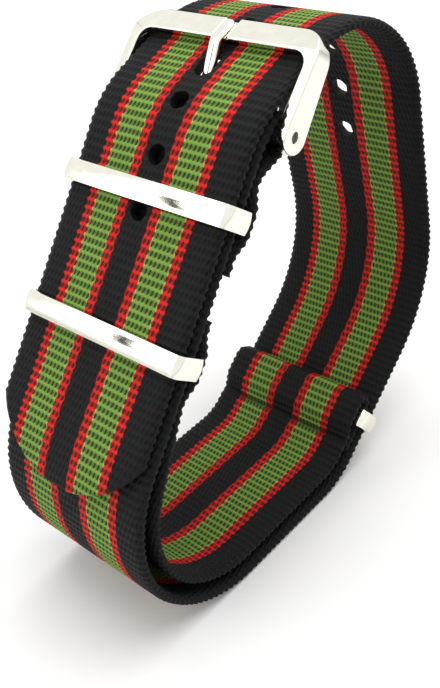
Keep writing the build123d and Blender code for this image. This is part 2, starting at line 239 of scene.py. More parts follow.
# %% The rise over a keeper's leg
def tunnel(drop, above, below):
    """Corners of a layer that lifts off the front run over a keeper's leg."""
    return [
        on_front(-drop + TUNNEL_FOOT + above, -HALF),
        on_front(-drop + TUNNEL_FOOT, -HALF),
        on_front(-drop + TUNNEL_HALF, -HALF - TUNNEL_HEIGHT),
        on_front(-drop - TUNNEL_HALF, -HALF - TUNNEL_HEIGHT),
        on_front(-drop - TUNNEL_FOOT, -HALF),
        on_front(-drop - TUNNEL_FOOT - below, -HALF),
    ]


# %% The long route
LONG_END = 2.2
SHORT_END = 2.0
ABOVE_TUNNEL = 1.6
heel_path, sole_path = grown(HEEL, HALF), grown(SOLE, HALF)
back_path, crown_path = grown(BACK, LIFT + HALF), grown(CROWN, LIFT + HALF)
tail_path = grown(HEEL, LIFT + HALF)
eye_angle = front_angle - EYE_ARC
eye_path = EYE_RADIUS + HALF
first_run = run_beside(*heel_path, front_angle)
tail_run = (front_angle, first_run[1] + LIFT)
tip_angle = front_angle + math.degrees(TIP_WRAP / tail_path[1])
long_runs = [
    run_beside(*grown(SHOULDER, HALF), eye_angle),
    first_run,
    run_beside(*heel_path, REST_ANGLE),
    run_beside(*sole_path, lower_angle),
    run_beside(*back_path, upper_angle),
    run_beside(*crown_path, brow_angle),
    tail_run,
    run_beside(*tail_path, tip_angle),
]
long_corners = [on_shoulder(EYE_ARC, HALF)]
long_corners += [corner(run, following) for run, following in zip(long_runs, long_runs[1:])]
long_corners.append(tail_path[0] + toward(tip_angle) * tail_path[1])
long_turns = [EYE_LEAD, heel_path[1], sole_path[1], back_path[1]]
long_turns += [crown_path[1], SHOULDER[1] + LIFT + HALF, tail_path[1]]

fold_corners = tunnel(KEEPER_DROPS[0], ABOVE_TUNNEL, LONG_END)
fold_corners.insert(0, on_shoulder(EYE_ARC, HALF - 2 * eye_path))
fold_corners.reverse()
fold_line = rounded_line(fold_corners, [BEND] * 5)
eye_line = arc_points(hinge, eye_path, eye_angle - 180, 180)
long_route = Route(fold_line + eye_line + rounded_line(long_corners, long_turns))
print("long webbing", round(long_route.length, 1), "mm")

# %% The short route
SHORT_LEAD = 10.0
SHORT_INSIDE = 1.3
LOWER_WELD = 1.5
fold_outer = -GAP - HALF
fold_inner = fold_outer - TUNNEL_HEIGHT - THICK
fold_weld = fold_outer - THICK
fold_top = KEEPER_3_ALONG + TUNNEL_HALF
short_heel = grown(HEEL, -HALF - SHORT_INSIDE)
short_sole = grown(SOLE, fold_weld)
short_corners = tunnel(KEEPER_DROPS[1], ABOVE_TUNNEL, SHORT_END)
lead = run_beside(*short_heel, run_angle((short_corners[-1], 0), short_heel) % 360)
sag = run_beside(*short_heel, run_angle(short_heel, short_sole))
short_corners += [
    corner(lead, sag),
    corner(sag, run_beside(*short_sole, lower_angle)),
    on_lower(KEEPER_3_ALONG - TUNNEL_FOOT, fold_weld),
    on_lower(KEEPER_3_ALONG - TUNNEL_HALF, fold_inner),
    on_lower(fold_top, fold_inner),
]
short_turns = [BEND] * 4 + [SHORT_LEAD, short_heel[1], short_sole[1], BEND, BEND]
fold_centre = on_lower(fold_top, (fold_outer + fold_inner) / 2)
fold_arc = arc_points(fold_centre, (fold_outer - fold_inner) / 2, lower_angle + 180, -180)
return_end = on_lower(KEEPER_3_ALONG - TUNNEL_FOOT - LOWER_WELD, fold_outer)
short_route = Route(rounded_line(short_corners, short_turns) + fold_arc + [return_end])
print("short webbing", round(short_route.length, 1), "mm")

# %% [markdown]
# ## The colour pattern and the weave
# This webbing is woven in ribs: nylon warp threads run along the strap and pass
# over heavy weft picks that run across it. The stripes are simply warp threads of
# other colours. They could be painted on a picture, but then the threads would
# blur up close. Here one material works them out on a UV map in millimetres, so
# that the pattern follows the ribbon round every turn.

# %% Sizes and colours of the weave
THREAD = 0.5715
THREAD_SLANT = 0.34
RIB = 0.92
STRIPES = (3, 5, 11, 13)
STRIPE_WAVE = 0.085
PALE_EDGE = 0.13
BLACK = (0.0055, 0.0055, 0.0065, 1)
GREEN = (0.145, 0.255, 0.044, 1)
RED = (0.50, 0.015, 0.012, 1)
PALE = (0.3, 0.36, 0.1, 1)
SHADOW = (0.004, 0.006, 0.003, 1)
RIM_BURN_AND_WELD_DARK = (0.006, 0.007, 0.006, 1)
MELTED = (0.012, 0.014, 0.01, 1)
print("threads across half the webbing:", round(WIDTH / 2 / THREAD, 2))


# %% Helpers that lay out shader nodes
def material(name):
    """An empty node material with its Principled shader."""
    made = bpy.data.materials.new(name)
    made.use_nodes = True
    return made, made.node_tree, made.node_tree.nodes["Principled BSDF"]


def feed(tree, socket, value):
    """Set a socket to a plain value, or link another socket to it."""
    if isinstance(value, (int, float, tuple)):
        socket.default_value = value
    else:
        tree.links.new(value, socket)


def maths(tree):
    """A short way to chain Math nodes in a node tree."""

    def add(operation, *values):
        node = tree.nodes.new("ShaderNodeMath")
        node.operation = operation
        for socket, value in zip(node.inputs, values):
            feed(tree, socket, value)
        return node.outputs[0]

    return add


def smooth_between(tree, value, low, high):
    """A mask that goes smoothly from 0 at low to 1 at high."""
    node = tree.nodes.new("ShaderNodeMapRange")
    node.interpolation_type = "SMOOTHSTEP"
    for name, given in (("From Min", low), ("From Max", high), ("Value", value)):
        feed(tree, node.inputs[name], given)
    return node.outputs["Result"]


def mix(tree, share, first, second, blend="MIX"):
    """Two colours mixed by a mask or a fixed share."""
    node = tree.nodes.new("ShaderNodeMix")
    node.data_type = "RGBA"
    node.blend_type = blend
    for number, value in ((0, share), (6, first), (7, second)):
        feed(tree, node.inputs[number], value)
    return node.outputs[2]


def grey_of(tree, value):
    """A grey whose red, green and blue are all one value."""
    node = tree.nodes.new("ShaderNodeCombineColor")
    for socket in node.inputs:
        feed(tree, socket, value)
    return node.outputs[0]


def noise_on(tree, place, scale, detail):
    """Soft noise on a place, at a scale that is fixed or linked."""
    node = tree.nodes.new("ShaderNodeTexNoise")
    for name, value in (("Vector", place), ("Scale", scale), ("Detail", detail)):
        feed(tree, node.inputs[name], value)
    return node.outputs["Fac"]


def stretched(tree, place, scale):
    """A place scaled by its own share along each axis."""
    node = tree.nodes.new("ShaderNodeMapping")
    feed(tree, node.inputs["Vector"], place)
    feed(tree, node.inputs["Scale"], scale)
    return node.outputs["Vector"]


def bump(tree, shader, height, strength, distance):
    """Relief on a shader's surface from a height."""
    node = tree.nodes.new("ShaderNodeBump")
    for name, value in (("Height", height), ("Strength", strength), ("Distance", distance)):
        feed(tree, node.inputs[name], value)
    feed(tree, shader.inputs["Normal"], node.outputs["Normal"])


def attribute(tree, name):
    """The value that a mesh carries at its points under a name."""
    node = tree.nodes.new("ShaderNodeAttribute")
    node.attribute_name = name
    return node.outputs["Fac"]


# %% [markdown]
# ## Ribs and threads
# A cosine along the strap makes the ribs. Across it, the threads are counted, and
# the count is moved by half a thread on every second rib, as in the real cloth. A
# thread dives at the valley between two ribs, so the small dark gaps show only
# where a thread's edge and a valley meet.

# %% Where a point lies on the weave
ALWAYS_POSITIVE = 100.0
webbing, tree, shader = material("striped_rib_webbing")
m = maths(tree)
cloth_map = tree.nodes.new("ShaderNodeUVMap")
cloth_map.uv_map = "cloth"
on_cloth = cloth_map.outputs["UV"]
split = tree.nodes.new("ShaderNodeSeparateXYZ")
feed(tree, split.inputs[0], on_cloth)
across, along = split.outputs["X"], split.outputs["Y"]

rib_wave = m("COSINE", m("MULTIPLY", along, 2 * math.pi / RIB))
valley = m("MULTIPLY_ADD", rib_wave, -0.5, 0.5)
rib_count = m("DIVIDE", along, RIB)
odd_rib = m("MODULO", m("FLOOR", rib_count), 2.0)
slant = m("MULTIPLY_ADD", m("FRACT", rib_count), THREAD_SLANT, -THREAD_SLANT / 2)
thread_count = m("ADD", m("ADD", m("DIVIDE", across, THREAD), m("MULTIPLY", odd_rib, 0.5)), slant)
thread_place = m("FRACT", m("ADD", thread_count, ALWAYS_POSITIVE))
thread_edge = m("ABSOLUTE", m("MULTIPLY_ADD", thread_place, 2.0, -1.0))
gap = m("MULTIPLY", smooth_between(tree, thread_edge, 0.42, 0.78), smooth_between(tree, valley, 0.12, 0.5))
print("weave:", RIB, "mm ribs of", THREAD, "mm threads")

# %% [markdown]
# ## Stripes
# The colours come from a stepped ramp over the distance from the middle line, so
# both halves match. The borders waver a little with the ribs, and a paler thread
# lies where the green meets the red.

# %% The stripes
across_size = m("SUBTRACT", m("ABSOLUTE", across), m("MULTIPLY", rib_wave, STRIPE_WAVE))
ramp = tree.nodes.new("ShaderNodeValToRGB")
ramp.color_ramp.interpolation = "CONSTANT"
red_from, green_from, green_to, red_to = (threads * THREAD for threads in STRIPES)
stops = [(0, BLACK), (red_from, RED), (green_from, PALE), (green_from + PALE_EDGE, GREEN)]
stops += [(green_to - PALE_EDGE, PALE), (green_to, RED), (red_to, BLACK)]
elements = ramp.color_ramp.elements
for number, (place, colour) in enumerate(stops):
    element = elements[number] if number < 2 else elements.new(0.99)
    element.position = place / (WIDTH / 2)
    element.color = colour
feed(tree, ramp.inputs["Fac"], m("DIVIDE", across_size, WIDTH / 2))
stripe = ramp.outputs["Color"]
print("stripe borders at", [round(threads * THREAD, 2) for threads in STRIPES], "mm")

# %% [markdown]
# ## Light and shade on the cloth
# Real threads differ. Two noises vary their own tone, a broad one as from handling,
# and one drawn out along the threads as from their fibres. The rib crests are also
# painted lighter and the valleys darker, which is painted light and shade. The cut
# ends are melted, and so are the rims of the holes: the mesh carries two values, seal
# and press, that say where, and there the weave gives way to a smoother dark surface.
# Press also covers the weld grooves, which are painted the same dark colour.

# %% Shade, melted ends and relief
handled = noise_on(tree, on_cloth, 0.55, 3.0)
fibre = noise_on(tree, stretched(tree, on_cloth, (14.0, 2.2, 1.0)), 1.0, 2.0)
# Painted light and shade: the rib crests are made lighter and the valleys darker. The two noises after it
# are the threads' own tone.
rib_light_and_tone = m("MULTIPLY_ADD", rib_wave, 0.34, 0.9)
rib_light_and_tone = m("MULTIPLY", rib_light_and_tone, m("MULTIPLY_ADD", fibre, 0.5, 0.77))
rib_light_and_tone = m("MULTIPLY", rib_light_and_tone, m("MULTIPLY_ADD", handled, 0.3, 0.86))
threads = mix(tree, 1.0, stripe, grey_of(tree, rib_light_and_tone), "MULTIPLY")
woven = mix(tree, gap, threads, mix(tree, 0.9, stripe, SHADOW))
woven = mix(tree, attribute(tree, "seal"), woven, mix(tree, 0.3, stripe, MELTED))
# The press mask paints the melted hole rims and the weld grooves the same dark colour.
woven = mix(tree, m("MULTIPLY", attribute(tree, "press"), 0.9), woven, RIM_BURN_AND_WELD_DARK)
feed(tree, shader.inputs["Base Color"], woven)

relief = m("MULTIPLY", m("SUBTRACT", 1.0, m("POWER", thread_edge, 2.0)), 0.6)
relief = m("ADD", relief, m("MULTIPLY", rib_wave, 0.25))
relief = m("ADD", relief, m("MULTIPLY", fibre, 0.35))
relief = m("SUBTRACT", relief, m("MULTIPLY", gap, 0.5))
bump(tree, shader, relief, 0.75, 0.12 * MM)
feed(tree, shader.inputs["Roughness"], m("MULTIPLY_ADD", fibre, 0.25, 0.55))
shader.inputs["Specular IOR Level"].default_value = 0.14
print("webbing material has", len(tree.nodes), "nodes")

# %% [markdown]
# ## Polished steel
# The frame, the tongue and the keepers are bright polished steel. Polished metal
# has almost no colour of its own: it shows the white room and one dark patch. A
# small node group adds what years of sleeves leave on it, hair-fine scratches and
# a faint change of gloss. As a group it is built once, and each steel gets it with
# its own values.

# %% A node group for handling marks
marks = bpy.data.node_groups.new("handling_marks", "ShaderNodeTree")
sockets = [("INPUT", name) for name in ("Scale", "Base Roughness", "Amount")]
sockets += [("OUTPUT", name) for name in ("Roughness", "Height", "Shade")]
for way, name in sockets:
    marks.interface.new_socket(name, in_out=way, socket_type="NodeSocketFloat")
given = marks.nodes.new("NodeGroupInput").outputs
result = marks.nodes.new("NodeGroupOutput").inputs
g = maths(marks)
on_object = marks.nodes.new("ShaderNodeTexCoord").outputs["Object"]
cloud = noise_on(marks, on_object, given["Scale"], 4.0)
hair = noise_on(marks, stretched(marks, on_object, (1.0, 22.0, 22.0)), given["Scale"], 2.0)
both = g("ADD", g("MULTIPLY", cloud, 0.5), g("MULTIPLY", hair, 0.5))
change = g("MULTIPLY", g("SUBTRACT", both, 0.45), given["Amount"])
feed(marks, result["Roughness"], g("ADD", given["Base Roughness"], change))
feed(marks, result["Height"], hair)
feed(marks, result["Shade"], g("MULTIPLY_ADD", cloud, 0.2, 0.9))
print("handling marks:", len(marks.nodes), "nodes")


# %% Four steels
def steel(name, colour, base_roughness, amount, scale, depth):
    """A steel with handling marks in its gloss, its shade and its surface."""
    made, nodes, bsdf = material(name)
    group = nodes.nodes.new("ShaderNodeGroup")
    group.node_tree = marks
    for socket, value in (("Scale", scale), ("Base Roughness", base_roughness), ("Amount", amount)):
        feed(nodes, group.inputs[socket], value)
    tone = grey_of(nodes, group.outputs["Shade"])
    feed(nodes, bsdf.inputs["Base Color"], mix(nodes, 1.0, colour, tone, "MULTIPLY"))
    feed(nodes, bsdf.inputs["Roughness"], group.outputs["Roughness"])
    bump(nodes, bsdf, group.outputs["Height"], depth, 0.02 * MM)
    bsdf.inputs["Metallic"].default_value = 1.0
    return made


polished = steel("polished_steel", (0.84, 0.83, 0.73, 1), 0.06, 0.08, 900.0, 0.12)
turned = steel("turned_steel", (0.62, 0.61, 0.58, 1), 0.28, 0.2, 1500.0, 0.4)
wire = steel("spring_wire", (0.5, 0.5, 0.5, 1), 0.35, 0.2, 1500.0, 0.3)
# Painted shade: the spring bar's tips get this dark steel for the dark inside of the ears' holes.
darkened = steel("hole_shade_steel", (0.1, 0.1, 0.1, 1), 0.4, 0.2, 1500.0, 0.3)
print("steels:", polished.name, turned.name, wire.name, darkened.name)

# %% [markdown]
# ## Weaving the ribbon
# Each webbing starts as it leaves the loom: a flat grid as long and as wide as the
# cut strap, with four rows for each rib. Solidify gives it its thickness. While it
# is still flat, the ribs, the rounded scalloped selvedges and the rounded tip are
# shaped by small moves of its points, and the UV map is written in millimetres.
# Then the whole ribbon is wrapped along its route. Working flat first keeps every
# rib and stripe even round the tightest fold.


# %% Helpers for modelling by hand
def clear_selection():
    """Nothing selected and nothing active."""
    if bpy.context.object and bpy.context.object.mode != "OBJECT":
        bpy.ops.object.mode_set(mode="OBJECT")
    bpy.ops.object.select_all(action="DESELECT")
    bpy.context.view_layer.objects.active = None


def take(*objects):
    """Select these objects alone and make the first one active."""
    clear_selection()
    for obj in objects:
        obj.select_set(True)
    bpy.context.view_layer.objects.active = objects[0]


def join(*objects):
    """Join objects into the first one."""
    take(*objects)
    bpy.ops.object.join()
    return bpy.context.object


def apply_modifier(obj, kind, **settings):
    """Add a modifier, set it and apply it."""
    take(obj)
    made = obj.modifiers.new(kind.lower(), kind)
    for key, value in settings.items():
        setattr(made, key, value)
    bpy.ops.object.modifier_apply(modifier=made.name)


def face_outward(obj, merge=None, flatten=None):
    """Merge close points and flat neighbours if asked, and turn all faces outward."""
    take(obj)
    bpy.ops.object.mode_set(mode="EDIT")
    bpy.ops.mesh.select_all(action="SELECT")
    if merge:
        bpy.ops.mesh.remove_doubles(threshold=merge)
    if flatten:
        bpy.ops.mesh.dissolve_limited(angle_limit=math.radians(flatten))
    bpy.ops.mesh.normals_make_consistent(inside=False)
    bpy.ops.mesh.select_all(action="DESELECT")
    bpy.ops.object.mode_set(mode="OBJECT")


def smooth_below(obj, angle):
    """Smooth shading over every edge flatter than an angle in degrees."""
    take(obj)
    bpy.ops.object.shade_smooth_by_angle(angle=math.radians(angle))


# %% Helpers for a mesh's points and faces
def points_of(mesh):
    """The mesh's points as rows of X, Y and Z."""
    flat = np.empty(len(mesh.vertices) * 3)
    mesh.vertices.foreach_get("co", flat)
    return flat.reshape(-1, 3)


def put_points(mesh, points):
    """Write the points back."""
    mesh.vertices.foreach_set("co", np.ascontiguousarray(points).ravel())
    mesh.update()


def lie_along(mesh, spot, normal, points):
    """Put points that are given across, outward and along to a spot of the side view."""
    way = np.array([-normal[1], normal[0]])
    x, outward, forward = points
    y = spot[0] + way[0] * forward + normal[0] * outward
    z = spot[1] + way[1] * forward + normal[1] * outward
    put_points(mesh, np.column_stack([x, y, z]) * MM)


def bridge(made, rings):
    """Faces between each closed ring of points and the next."""
    count = len(rings[0])
    for first, second in zip(rings, rings[1:]):
        for i in range(count):
            j = (i + 1) % count
            made.faces.new((first[i], first[j], second[j], second[i]))


def finished_mesh(name, made):
    """Turn a bmesh's faces outward and make it a mesh."""
    bmesh.ops.recalc_face_normals(made, faces=made.faces)
    mesh = bpy.data.meshes.new(name)
    made.to_mesh(mesh)
    made.free()
    return mesh


def show(name, mesh):
    """An object of the scene that carries a mesh."""
    obj = bpy.data.objects.new(name, mesh)
    bpy.context.scene.collection.objects.link(obj)
    return obj


# %% [markdown]
# ## A flat ribbon
# The tail's end is cut to a round arc, and the grid is squeezed to it. The threads
# don't follow the squeeze, because the UV map is written from the finished flat
# outline: the arc cuts across the stripes, as scissors do.

# %% Lay out a flat ribbon
ROWS_PER_RIB = 4
COLUMNS = 28
RIB_HEIGHT = 0.1
TIP_ROUND = 12.3
TIP_LEAST = 0.02
FACE = HALF - RIB_HEIGHT


def tip_half(back):
    """Half the width that the rounded tip has so far back from its end."""
    short = TIP_ROUND - np.minimum(back, TIP_ROUND)
    return np.sqrt(np.clip(TIP_ROUND**2 - short**2, TIP_LEAST, None))


def flat_ribbon(name, width, length, tip_at_end):
    """A ribbon lying flat: X across it and Y along it, in millimetres."""
    clear_selection()
    rows = int(length / RIB * ROWS_PER_RIB)
    bpy.ops.mesh.primitive_grid_add(x_subdivisions=COLUMNS, y_subdivisions=rows, size=1, location=(0, 0, 0))
    ribbon = bpy.context.object
    ribbon.name = ribbon.data.name = name
    flat = points_of(ribbon.data)
    flat[:, 0] *= width
    flat[:, 1] = (flat[:, 1] + 0.5) * length
    if tip_at_end:
        flat[:, 0] *= np.minimum(1.0, tip_half(length - flat[:, 1]) / (width / 2))
    put_points(ribbon.data, flat)
    apply_modifier(ribbon, "SOLIDIFY", thickness=2 * FACE, offset=0.0)
    return ribbon


print("rows every", RIB / ROWS_PER_RIB, "mm, columns:", COLUMNS)

# %% [markdown]
# ## Ribs, selvedges and welds
# The ribs stand 0.1 mm proud. Along each selvedge the weft turns back, so the edge
# is thin, round and scalloped. Cut ends are sealed by melting, which flattens the
# ribs, and where layers are welded together a groove is pressed across the strap.

# %% Shape the flat ribbon
EDGE_ROUND = 0.75
EDGE_POWER = 2.2
EDGE_LEAST = 0.12
SCALLOP = 0.08
SCALLOP_REACH = 0.9
SEAL_REACH = 0.22
MELT_REACH = 0.9
MELT_SHARE = 0.8


def shape_ribs(ribbon, width, length, tip_at_end, grooves):
    """Raise the ribs, round and scallop the edges, seal the cut ends, press the welds."""
    mesh = ribbon.data
    flat = points_of(mesh)
    x, y, z = flat.T.copy()
    half = np.full(len(x), width / 2)
    if tip_at_end:
        half = np.minimum(half, tip_half(length - y))
    wave = np.cos(2 * np.pi * y / RIB)
    inset = half - np.abs(x)
    thin = np.sqrt(np.clip(1 - np.clip(1 - inset / EDGE_ROUND, 0, 1) ** EDGE_POWER, EDGE_LEAST, 1))
    press = np.zeros(len(x))
    for place, face, breadth, depth in grooves:
        dent = np.exp(-(((y - place) / breadth) ** 2)) * ((z > 0) == (face > 0))
        press = np.maximum(press, dent)
        z -= np.sign(z) * dent * depth
    full = half > width / 2 - 0.01
    end_gap = np.minimum(y, length - y)
    to_end = np.where(full, end_gap, np.minimum(inset * 0.8, end_gap))
    seal = np.clip(1 - to_end / SEAL_REACH, 0, 1)
    melt = np.clip(1 - to_end / MELT_REACH, 0, 1)
    rib = RIB_HEIGHT * (wave * 0.5 + 0.5) * (1 - melt * MELT_SHARE) * (1 - press)
    z = z * thin + np.sign(z) * rib
    x = x + np.sign(x) * np.clip(1 - inset / SCALLOP_REACH, 0, 1) * full * SCALLOP * (wave - 1.0)
    put_points(mesh, np.column_stack([x, y, z]))
    for name, values in (("seal", seal), ("press", press)):
        layer = mesh.attributes.new(name, "FLOAT", "POINT")
        layer.data.foreach_set("value", values.astype(np.float32))
    corners = np.empty(len(mesh.loops), np.int32)
    mesh.loops.foreach_get("vertex_index", corners)
    cloth = mesh.uv_layers.new(name="cloth")
    cloth.data.foreach_set("uv", flat[corners, :2].ravel())
    print(ribbon.name, "sealed at", int((seal > 0).sum()), "points")


# %% Wrap a ribbon along its route
HANG_RUN = 34
HANG_POWER = 1.5


def wrap(ribbon, route, hang=0.0):
    """Lay a flat ribbon along its route, its free end hanging to one side."""
    x, y, z = points_of(ribbon.data).T
    spots, sides = route.at(np.clip(y, 0, route.length - 1e-6))
    free = np.clip((y - (route.length - HANG_RUN)) / HANG_RUN, 0, 1)
    side = x + hang * free**HANG_POWER
    put_points(ribbon.data, np.column_stack([side, spots[0] + z * sides[0], spots[1] + z * sides[1]]) * MM)
    face_outward(ribbon)
    bpy.ops.object.shade_smooth()
    ribbon.data.materials.append(webbing)
    print(ribbon.name, len(ribbon.data.polygons), "faces")


# %% [markdown]
# ## The long strap
# Its inner end is welded down on both sides of the first keeper, and the tail hangs
# about half a millimetre to the left at its tip, as the real one does.

# %% Make the long strap
WELD_AWAY = 0.7
WELD_BREADTH = 0.3
WELD_DEPTH = 0.3
TAIL_HANG = -0.55
below_weld = long_route.nearest(on_front(-KEEPER_DROPS[0] - TUNNEL_FOOT - WELD_AWAY, -HALF), 0, 8)
above_weld = long_route.nearest(on_front(-KEEPER_DROPS[0] + TUNNEL_FOOT + WELD_AWAY, -HALF), 6, 20)
long_piece = flat_ribbon("long_webbing", WIDTH, long_route.length, True)
long_grooves = [(place, 1, WELD_BREADTH, WELD_DEPTH) for place in (below_weld, above_weld)]
shape_ribs(long_piece, WIDTH, long_route.length, True, long_grooves)
wrap(long_piece, long_route, TAIL_HANG)

# %% [markdown]
# ## Punched holes
# The tail has ten holes, melted through with a hot pin so that they don't fray.
# Each is cut with a round cutter that stands across the webbing where the hole is,
# and all the cutters go in one boolean, which is quicker and cleaner than ten. The
# tongue's hole is pulled long. A last cutter clears the slot in the eye where the
# tongue turns.

# %% Cut the holes
HOLE = 2.2
HOLE_PITCH = 5.8
HOLE_COUNT = 10
FIRST_HOLE = 30.35
TONGUE_HOLE = 4
STRETCH = 1.4
CUTTER_PAST = 0.12
SLOT_RADIUS = 2.3
SLOT_WIDTH = 2.0


def hole_cutter(place, stretch):
    """A round cutter that stands across the long strap at a place along it."""
    clear_selection()
    bpy.ops.mesh.primitive_cylinder_add(vertices=32, radius=HOLE / 2, depth=2 * (HALF + CUTTER_PAST))
    made = bpy.context.object
    x, y, z = points_of(made.data).T
    spot, normal = long_route.spot(place)
    lie_along(made.data, spot, normal, (x, z, y + np.sign(y) * stretch / 2))
    return made


hole_places = [long_route.length - FIRST_HOLE - HOLE_PITCH * number for number in range(HOLE_COUNT)]
hole_places[TONGUE_HOLE - 1] += STRETCH / 2
stretches = [STRETCH if number == TONGUE_HOLE - 1 else 0.0 for number in range(HOLE_COUNT)]
cutters = [hole_cutter(place, stretch) for place, stretch in zip(hole_places, stretches)]
clear_selection()
bpy.ops.mesh.primitive_cylinder_add(
    vertices=48, radius=SLOT_RADIUS * MM, depth=SLOT_WIDTH * MM, rotation=(0, math.radians(90), 0),
    location=(0, hinge[0] * MM, hinge[1] * MM),
)
cutter = join(*cutters, bpy.context.object)
bpy.ops.object.transform_apply(location=True, rotation=True, scale=True)
face_outward(cutter)
apply_modifier(long_piece, "BOOLEAN", object=cutter, operation="DIFFERENCE", solver="EXACT", use_self=False)
bpy.data.objects.remove(cutter)
print("after the holes:", len(long_piece.data.polygons), "faces")

# %% Darken the melted rims
RIM = 0.3
RIM_LEVEL = 0.8
points = points_of(long_piece.data) / MM
layer = long_piece.data.attributes["press"]
press = np.empty(len(points), np.float32)
layer.data.foreach_get("value", press)
for place, stretch in zip(hole_places, stretches):
    spot, normal = long_route.spot(place)
    offset = points[:, 1:] - spot
    run = np.maximum(np.abs(offset @ np.array([-normal[1], normal[0]])) - stretch / 2, 0)
    reach = np.hypot(points[:, 0], run) - HOLE / 2
    rim = np.clip(1 - reach / RIM, 0, 1) * (np.abs(offset @ normal) < RIM_LEVEL)
    press = np.maximum(press, rim)
layer.data.foreach_set("value", press.astype(np.float32))
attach(long_piece, "strap")
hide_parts("long_strap")
print("rims darkened at", len(hole_places), "holes")

# %% [markdown]
# ## The short strap
# The same cloth, cut a little narrower, so that its edges stand just inside the long
# strap's and the two layers read as two. Its outer face is pressed where it is
# welded below the second keeper and before the last fold.

# %% Make the short strap
SHORT_WIDTH = 21.4
SHORT_WELD_BREADTH = 0.34
FOLD_WELD_AWAY, FOLD_WELD_DEPTH = 0.6, 0.4
FRONT_WELD_AWAY, FRONT_WELD_DEPTH = 1.0, 0.3
weld_spot = on_lower(KEEPER_3_ALONG - TUNNEL_FOOT - FOLD_WELD_AWAY, fold_weld)
short_weld = short_route.nearest(weld_spot, 20, short_route.length)
weld_spot = on_front(-KEEPER_DROPS[1] - TUNNEL_FOOT - FRONT_WELD_AWAY, -HALF)
front_weld = short_route.nearest(weld_spot, 5, 20)
short_grooves = [
    (short_weld, -1, SHORT_WELD_BREADTH, FOLD_WELD_DEPTH),
    (front_weld, -1, SHORT_WELD_BREADTH, FRONT_WELD_DEPTH),
]
short_piece = flat_ribbon("short_webbing", SHORT_WIDTH, short_route.length, False)
shape_ribs(short_piece, SHORT_WIDTH, short_route.length, False, short_grooves)
wrap(short_piece, short_route)
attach(short_piece, "strap")
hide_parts("short_strap")

# %% [markdown]
# ## The keepers
# A keeper is a strip of steel bent into a flat ring, its outer face slightly crowned
# so that it polishes to one long highlight. A primitive ring has no such section, so
# the section is swept: rounded rectangles are set one behind the other along the
# strap, each swelled by the crowning, and joined by faces, with small chamfers at
# both mouths. It is modelled once and copied to the three places.

# %% Sizes of a keeper
BAND = 2.4
SIDE_WALL = 0.6
OPENING = LIFT + THICK + 2 * KEEPER_PLAY
INNER_WIDTH = WIDTH + 0.3
OUTER_CORNER = 1.0
INNER_CORNER = 0.35
CROWNING = 0.14
CROWNED_SHARE = 0.86
MOUTH = 0.12
EDGE_STEPS = ((0.96, -0.17), (1.0, -0.30))
CORNER_STEPS = 7


def rounded_box_loop(width, height, radius, segments):
    """Corner-rounded rectangle, as points in order."""
    points = []
    for quarter, (sx, sy) in enumerate(((1, 1), (-1, 1), (-1, -1), (1, -1))):
        centre = np.array([sx * (width / 2 - radius), sy * (height / 2 - radius)])
        for share in np.linspace(0, 90, segments + 1):
            points.append(centre + toward(quarter * 90 + share) * radius)
    return np.array(points)


def swelled(loop, radius, by):
    """A rounded rectangle moved outward by so much."""
    core = np.abs(loop).max(0) - radius
    return loop + (loop - np.clip(loop, -core, core)) / radius * by


print("keeper opening", round(INNER_WIDTH, 2), "by", round(OPENING, 2), "mm")

# %% Sweep one keeper
outer = rounded_box_loop(INNER_WIDTH + 2 * SIDE_WALL, OPENING + 2 * KEEPER_WALL, OUTER_CORNER, CORNER_STEPS)
inner = rounded_box_loop(INNER_WIDTH, OPENING, INNER_CORNER, CORNER_STEPS)
section = [(-reach * BAND / 2, by) for reach, by in reversed(EDGE_STEPS)]
section += [(z * BAND / 2 * CROWNED_SHARE, -CROWNING * z * z) for z in np.linspace(-1, 1, 13)]
section += [(reach * BAND / 2, by) for reach, by in EDGE_STEPS]
made = bmesh.new()
sections = [(swelled(outer, OUTER_CORNER, by), z) for z, by in section]
sections += [(swelled(inner, INNER_CORNER, MOUTH), BAND / 2), (inner, BAND / 2 - MOUTH)]
sections += [(inner, MOUTH - BAND / 2), (swelled(inner, INNER_CORNER, MOUTH), -BAND / 2)]
rings = [[made.verts.new((px, py, z)) for px, py in loop] for loop, z in sections]
bridge(made, rings + rings[:1])
keeper_pattern = finished_mesh("keeper_pattern", made)
print("one keeper:", len(keeper_pattern.polygons), "faces")

# %% Place the three keepers
middle = (LIFT + THICK) / 2
keeper_places = [
    ("keeper_1", "keeper_upper", on_front(-KEEPER_DROPS[0], middle), toward(front_angle)),
    ("keeper_2", "keeper_lower", on_front(-KEEPER_DROPS[1], middle), toward(front_angle)),
    ("keeper_3", "keeper_under", on_lower(KEEPER_3_ALONG, -GAP / 2), toward(lower_angle)),
]
for node, body, spot, normal in keeper_places:
    band = show(node + "_band", keeper_pattern.copy())
    band.data.name = band.name
    lie_along(band.data, spot, normal, points_of(band.data).T)
    face_outward(band)
    smooth_below(band, 40)
    band.data.materials.append(polished)
    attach(band, body)
    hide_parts(node)
    print(band.name, "at", spot.round(2))
bpy.data.meshes.remove(keeper_pattern)

# %% [markdown]
# ## The buckle frame
# The frame is cut from one steel block, as the real one is pressed from thick
# sheet. Its side view is the skin drawn tight round the ear and the top bar. Two
# plan shapes give the rounded corners and the window, and further cuts make room
# for the tail, for the spring bar's tips and for the tongue. A bevel then breaks
# every edge, and the flat faces keep flat normals so that they shine evenly.

